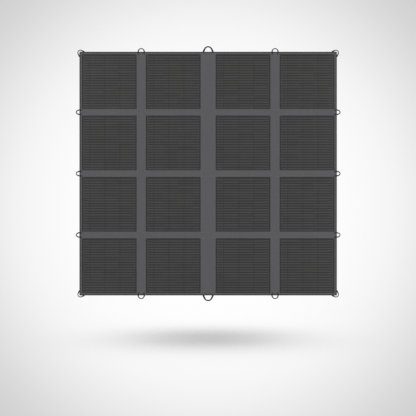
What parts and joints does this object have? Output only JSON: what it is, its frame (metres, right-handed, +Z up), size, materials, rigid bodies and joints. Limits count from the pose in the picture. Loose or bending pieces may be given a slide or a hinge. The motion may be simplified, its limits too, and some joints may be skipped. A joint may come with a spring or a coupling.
{
  "type": "folding solar blanket",
  "caption": "Foldable cloth blanket of square thin-film cell sheets on a grid, with elastic tie loops round its edges and a junction box behind it.",
  "frame": {"origin": "the point inside the crown of the top carry loop where a hook bears, on the loop's middle plane", "axes": "+X to the right seen from the front, across the width; +Z up; -Y is the way the cells face"},
  "size_m": [1.409, 0.0215, 1.356],
  "materials": {
    "coated_cloth": "matt plain-woven coated polyester, cool dark grey",
    "cell_laminate": "satin film over dark cells with fine lines across",
    "elastic_cord": "matt braided elastic, near black",
    "box_plastic": "fine-textured moulded plastic, black",
    "gland_plastic": "satin moulded nylon, black",
    "screw_steel": "plated, lightly brushed"
  },
  "bodies": {
    "band_r1_centre": {"band_cloth_r1_centre": "coated_cloth", "carry_loop_top": "elastic_cord"},
    "tile_r1c1": {"tile_cloth_r1c1": "coated_cloth", "cell_sheet_r1c1": "cell_laminate", "ties_top_left": "elastic_cord"},
    "tile_r1c2": {"tile_cloth_r1c2": "coated_cloth", "cell_sheet_r1c2": "cell_laminate", "end_tie_top_left": "elastic_cord", "junction_box_base": "box_plastic", "junction_box_cover": "box_plastic", "junction_box_screws": "screw_steel", "cable_gland": "gland_plastic"},
    "tile_r1c3": {"tile_cloth_r1c3": "coated_cloth", "cell_sheet_r1c3": "cell_laminate", "end_tie_top_right": "elastic_cord"},
    "tile_r1c4": {"tile_cloth_r1c4": "coated_cloth", "cell_sheet_r1c4": "cell_laminate", "ties_top_right": "elastic_cord"},
    "band_r1_left": {"band_cloth_r1_left": "coated_cloth"},
    "band_r1_right": {"band_cloth_r1_right": "coated_cloth"},
    "tile_r2c1": {"tile_cloth_r2c1": "coated_cloth", "cell_sheet_r2c1": "cell_laminate", "tie_middle_left": "elastic_cord"},
    "tile_r2c2": {"tile_cloth_r2c2": "coated_cloth", "cell_sheet_r2c2": "cell_laminate"},
    "tile_r2c3": {"tile_cloth_r2c3": "coated_cloth", "cell_sheet_r2c3": "cell_laminate"},
    "tile_r2c4": {"tile_cloth_r2c4": "coated_cloth", "cell_sheet_r2c4": "cell_laminate", "tie_middle_right": "elastic_cord"},
    "band_r2_left": {"band_cloth_r2_left": "coated_cloth"},
    "band_r2_centre": {"band_cloth_r2_centre": "coated_cloth"},
    "band_r2_right": {"band_cloth_r2_right": "coated_cloth"},
    "tile_r3c1": {"tile_cloth_r3c1": "coated_cloth", "cell_sheet_r3c1": "cell_laminate"},
    "tile_r3c2": {"tile_cloth_r3c2": "coated_cloth", "cell_sheet_r3c2": "cell_laminate"},
    "tile_r3c3": {"tile_cloth_r3c3": "coated_cloth", "cell_sheet_r3c3": "cell_laminate"},
    "tile_r3c4": {"tile_cloth_r3c4": "coated_cloth", "cell_sheet_r3c4": "cell_laminate"},
    "band_r3_left": {"band_cloth_r3_left": "coated_cloth"},
    "band_r3_centre": {"band_cloth_r3_centre": "coated_cloth"},
    "band_r3_right": {"band_cloth_r3_right": "coated_cloth"},
    "tile_r4c1": {"tile_cloth_r4c1": "coated_cloth", "cell_sheet_r4c1": "cell_laminate", "ties_bottom_left": "elastic_cord"},
    "tile_r4c2": {"tile_cloth_r4c2": "coated_cloth", "cell_sheet_r4c2": "cell_laminate", "end_tie_bottom_left": "elastic_cord"},
    "tile_r4c3": {"tile_cloth_r4c3": "coated_cloth", "cell_sheet_r4c3": "cell_laminate", "end_tie_bottom_right": "elastic_cord"},
    "tile_r4c4": {"tile_cloth_r4c4": "coated_cloth", "cell_sheet_r4c4": "cell_laminate", "ties_bottom_right": "elastic_cord"},
    "band_r4_left": {"band_cloth_r4_left": "coated_cloth"},
    "band_r4_centre": {"band_cloth_r4_centre": "coated_cloth", "carry_loop_bottom": "elastic_cord"},
    "band_r4_right": {"band_cloth_r4_right": "coated_cloth"}
  },
  "joints": [
    {"name": "centre_fold", "type": "hinge", "parent": "band_r1_centre", "child": "tile_r1c2", "pos_m": [-0.0233, -0.0036, -0.185], "axis": [0, 0, 1], "range_deg": [0, 90], "deforming": ["band_cloth_r2_centre", "band_cloth_r3_centre", "band_cloth_r4_centre", "carry_loop_bottom"]},
    {"name": "centre_fold_right", "type": "hinge", "parent": "band_r1_centre", "child": "tile_r1c3", "pos_m": [0.0233, -0.0036, -0.185], "axis": [0, 0, -1], "range_deg": [0, 90]},
    {"name": "left_fold", "type": "hinge", "parent": "tile_r1c2", "child": "band_r1_left", "pos_m": [-0.354, -0.0036, -0.185], "axis": [0, 0, 1], "range_deg": [0, 90], "deforming": ["band_cloth_r2_left", "band_cloth_r3_left", "band_cloth_r4_left"]},
    {"name": "left_fold_outer", "type": "hinge", "parent": "band_r1_left", "child": "tile_r1c1", "pos_m": [-0.375, -0.0036, -0.185], "axis": [0, 0, 1], "range_deg": [0, 90]},
    {"name": "right_fold", "type": "hinge", "parent": "tile_r1c3", "child": "band_r1_right", "pos_m": [0.354, -0.0036, -0.185], "axis": [0, 0, -1], "range_deg": [0, 90], "deforming": ["band_cloth_r2_right", "band_cloth_r3_right", "band_cloth_r4_right"]},
    {"name": "right_fold_outer", "type": "hinge", "parent": "band_r1_right", "child": "tile_r1c4", "pos_m": [0.375, -0.0036, -0.185], "axis": [0, 0, -1], "range_deg": [0, 90]},
    {"name": "row_fold", "type": "hinge", "parent": "tile_r1c2", "child": "tile_r2c2", "pos_m": [-0.1855, -0.0051, -0.3455], "axis": [-1, 0, 0], "range_deg": [0, 180]},
    {"name": "row_fold_2_c2", "type": "hinge", "parent": "tile_r2c2", "child": "tile_r3c2", "pos_m": [-0.1855, -0.0025, -0.6715], "axis": [1, 0, 0], "range_deg": [0, 180]},
    {"name": "row_fold_3_c2", "type": "hinge", "parent": "tile_r3c2", "child": "tile_r4c2", "pos_m": [-0.1855, -0.0051, -0.9975], "axis": [-1, 0, 0], "range_deg": [0, 180]},
    {"name": "row_fold_1_c1", "type": "hinge", "parent": "tile_r1c1", "child": "tile_r2c1", "pos_m": [-0.5255, -0.0051, -0.3455], "axis": [-1, 0, 0], "range_deg": [0, 180]},
    {"name": "row_fold_2_c1", "type": "hinge", "parent": "tile_r2c1", "child": "tile_r3c1", "pos_m": [-0.5255, -0.0025, -0.6715], "axis": [1, 0, 0], "range_deg": [0, 180]},
    {"name": "row_fold_3_c1", "type": "hinge", "parent": "tile_r3c1", "child": "tile_r4c1", "pos_m": [-0.5255, -0.0051, -0.9975], "axis": [-1, 0, 0], "range_deg": [0, 180]},
    {"name": "row_fold_1_c3", "type": "hinge", "parent": "tile_r1c3", "child": "tile_r2c3", "pos_m": [0.1855, -0.0051, -0.3455], "axis": [-1, 0, 0], "range_deg": [0, 180]},
    {"name": "row_fold_2_c3", "type": "hinge", "parent": "tile_r2c3", "child": "tile_r3c3", "pos_m": [0.1855, -0.0025, -0.6715], "axis": [1, 0, 0], "range_deg": [0, 180]},
    {"name": "row_fold_3_c3", "type": "hinge", "parent": "tile_r3c3", "child": "tile_r4c3", "pos_m": [0.1855, -0.0051, -0.9975], "axis": [-1, 0, 0], "range_deg": [0, 180]},
    {"name": "row_fold_1_c4", "type": "hinge", "parent": "tile_r1c4", "child": "tile_r2c4", "pos_m": [0.5255, -0.0051, -0.3455], "axis": [-1, 0, 0], "range_deg": [0, 180]},
    {"name": "row_fold_2_c4", "type": "hinge", "parent": "tile_r2c4", "child": "tile_r3c4", "pos_m": [0.5255, -0.0025, -0.6715], "axis": [1, 0, 0], "range_deg": [0, 180]},
    {"name": "row_fold_3_c4", "type": "hinge", "parent": "tile_r3c4", "child": "tile_r4c4", "pos_m": [0.5255, -0.0051, -0.9975], "axis": [-1, 0, 0], "range_deg": [0, 180]},
    {"name": "row_fold_1_left", "type": "hinge", "parent": "band_r1_left", "child": "band_r2_left", "pos_m": [-0.3645, -0.0051, -0.3455], "axis": [-1, 0, 0], "range_deg": [0, 180]},
    {"name": "row_fold_2_left", "type": "hinge", "parent": "band_r2_left", "child": "band_r3_left", "pos_m": [-0.3645, -0.0025, -0.6715], "axis": [1, 0, 0], "range_deg": [0, 180]},
    {"name": "row_fold_3_left", "type": "hinge", "parent": "band_r3_left", "child": "band_r4_left", "pos_m": [-0.3645, -0.0051, -0.9975], "axis": [-1, 0, 0], "range_deg": [0, 180]},
    {"name": "row_fold_1_centre", "type": "hinge", "parent": "band_r1_centre", "child": "band_r2_centre", "pos_m": [0, -0.0051, -0.3455], "axis": [-1, 0, 0], "range_deg": [0, 180]},
    {"name": "row_fold_2_centre", "type": "hinge", "parent": "band_r2_centre", "child": "band_r3_centre", "pos_m": [0, -0.0025, -0.6715], "axis": [1, 0, 0], "range_deg": [0, 180]},
    {"name": "row_fold_3_centre", "type": "hinge", "parent": "band_r3_centre", "child": "band_r4_centre", "pos_m": [0, -0.0051, -0.9975], "axis": [-1, 0, 0], "range_deg": [0, 180]},
    {"name": "row_fold_1_right", "type": "hinge", "parent": "band_r1_right", "child": "band_r2_right", "pos_m": [0.3645, -0.0051, -0.3455], "axis": [-1, 0, 0], "range_deg": [0, 180]},
    {"name": "row_fold_2_right", "type": "hinge", "parent": "band_r2_right", "child": "band_r3_right", "pos_m": [0.3645, -0.0025, -0.6715], "axis": [1, 0, 0], "range_deg": [0, 180]},
    {"name": "row_fold_3_right", "type": "hinge", "parent": "band_r3_right", "child": "band_r4_right", "pos_m": [0.3645, -0.0051, -0.9975], "axis": [-1, 0, 0], "range_deg": [0, 180]}
  ],
  "couplings": [
    {"joint": "centre_fold_right", "follows": "centre_fold", "ratio": 1},
    {"joint": "left_fold_outer", "follows": "left_fold", "ratio": 1},
    {"joint": "right_fold_outer", "follows": "right_fold", "ratio": 1},
    {"joint": "row_fold_2_c2", "follows": "row_fold", "ratio": 1},
    {"joint": "row_fold_3_c2", "follows": "row_fold", "ratio": 1},
    {"joint": "row_fold_1_c1", "follows": "row_fold", "ratio": 1},
    {"joint": "row_fold_2_c1", "follows": "row_fold", "ratio": 1},
    {"joint": "row_fold_3_c1", "follows": "row_fold", "ratio": 1},
    {"joint": "row_fold_1_c3", "follows": "row_fold", "ratio": 1},
    {"joint": "row_fold_2_c3", "follows": "row_fold", "ratio": 1},
    {"joint": "row_fold_3_c3", "follows": "row_fold", "ratio": 1},
    {"joint": "row_fold_1_c4", "follows": "row_fold", "ratio": 1},
    {"joint": "row_fold_2_c4", "follows": "row_fold", "ratio": 1},
    {"joint": "row_fold_3_c4", "follows": "row_fold", "ratio": 1},
    {"joint": "row_fold_1_left", "follows": "row_fold", "ratio": 1},
    {"joint": "row_fold_2_left", "follows": "row_fold", "ratio": 1},
    {"joint": "row_fold_3_left", "follows": "row_fold", "ratio": 1},
    {"joint": "row_fold_1_centre", "follows": "row_fold", "ratio": 1},
    {"joint": "row_fold_2_centre", "follows": "row_fold", "ratio": 1},
    {"joint": "row_fold_3_centre", "follows": "row_fold", "ratio": 1},
    {"joint": "row_fold_1_right", "follows": "row_fold", "ratio": 1},
    {"joint": "row_fold_2_right", "follows": "row_fold", "ratio": 1},
    {"joint": "row_fold_3_right", "follows": "row_fold", "ratio": 1}
  ]
}
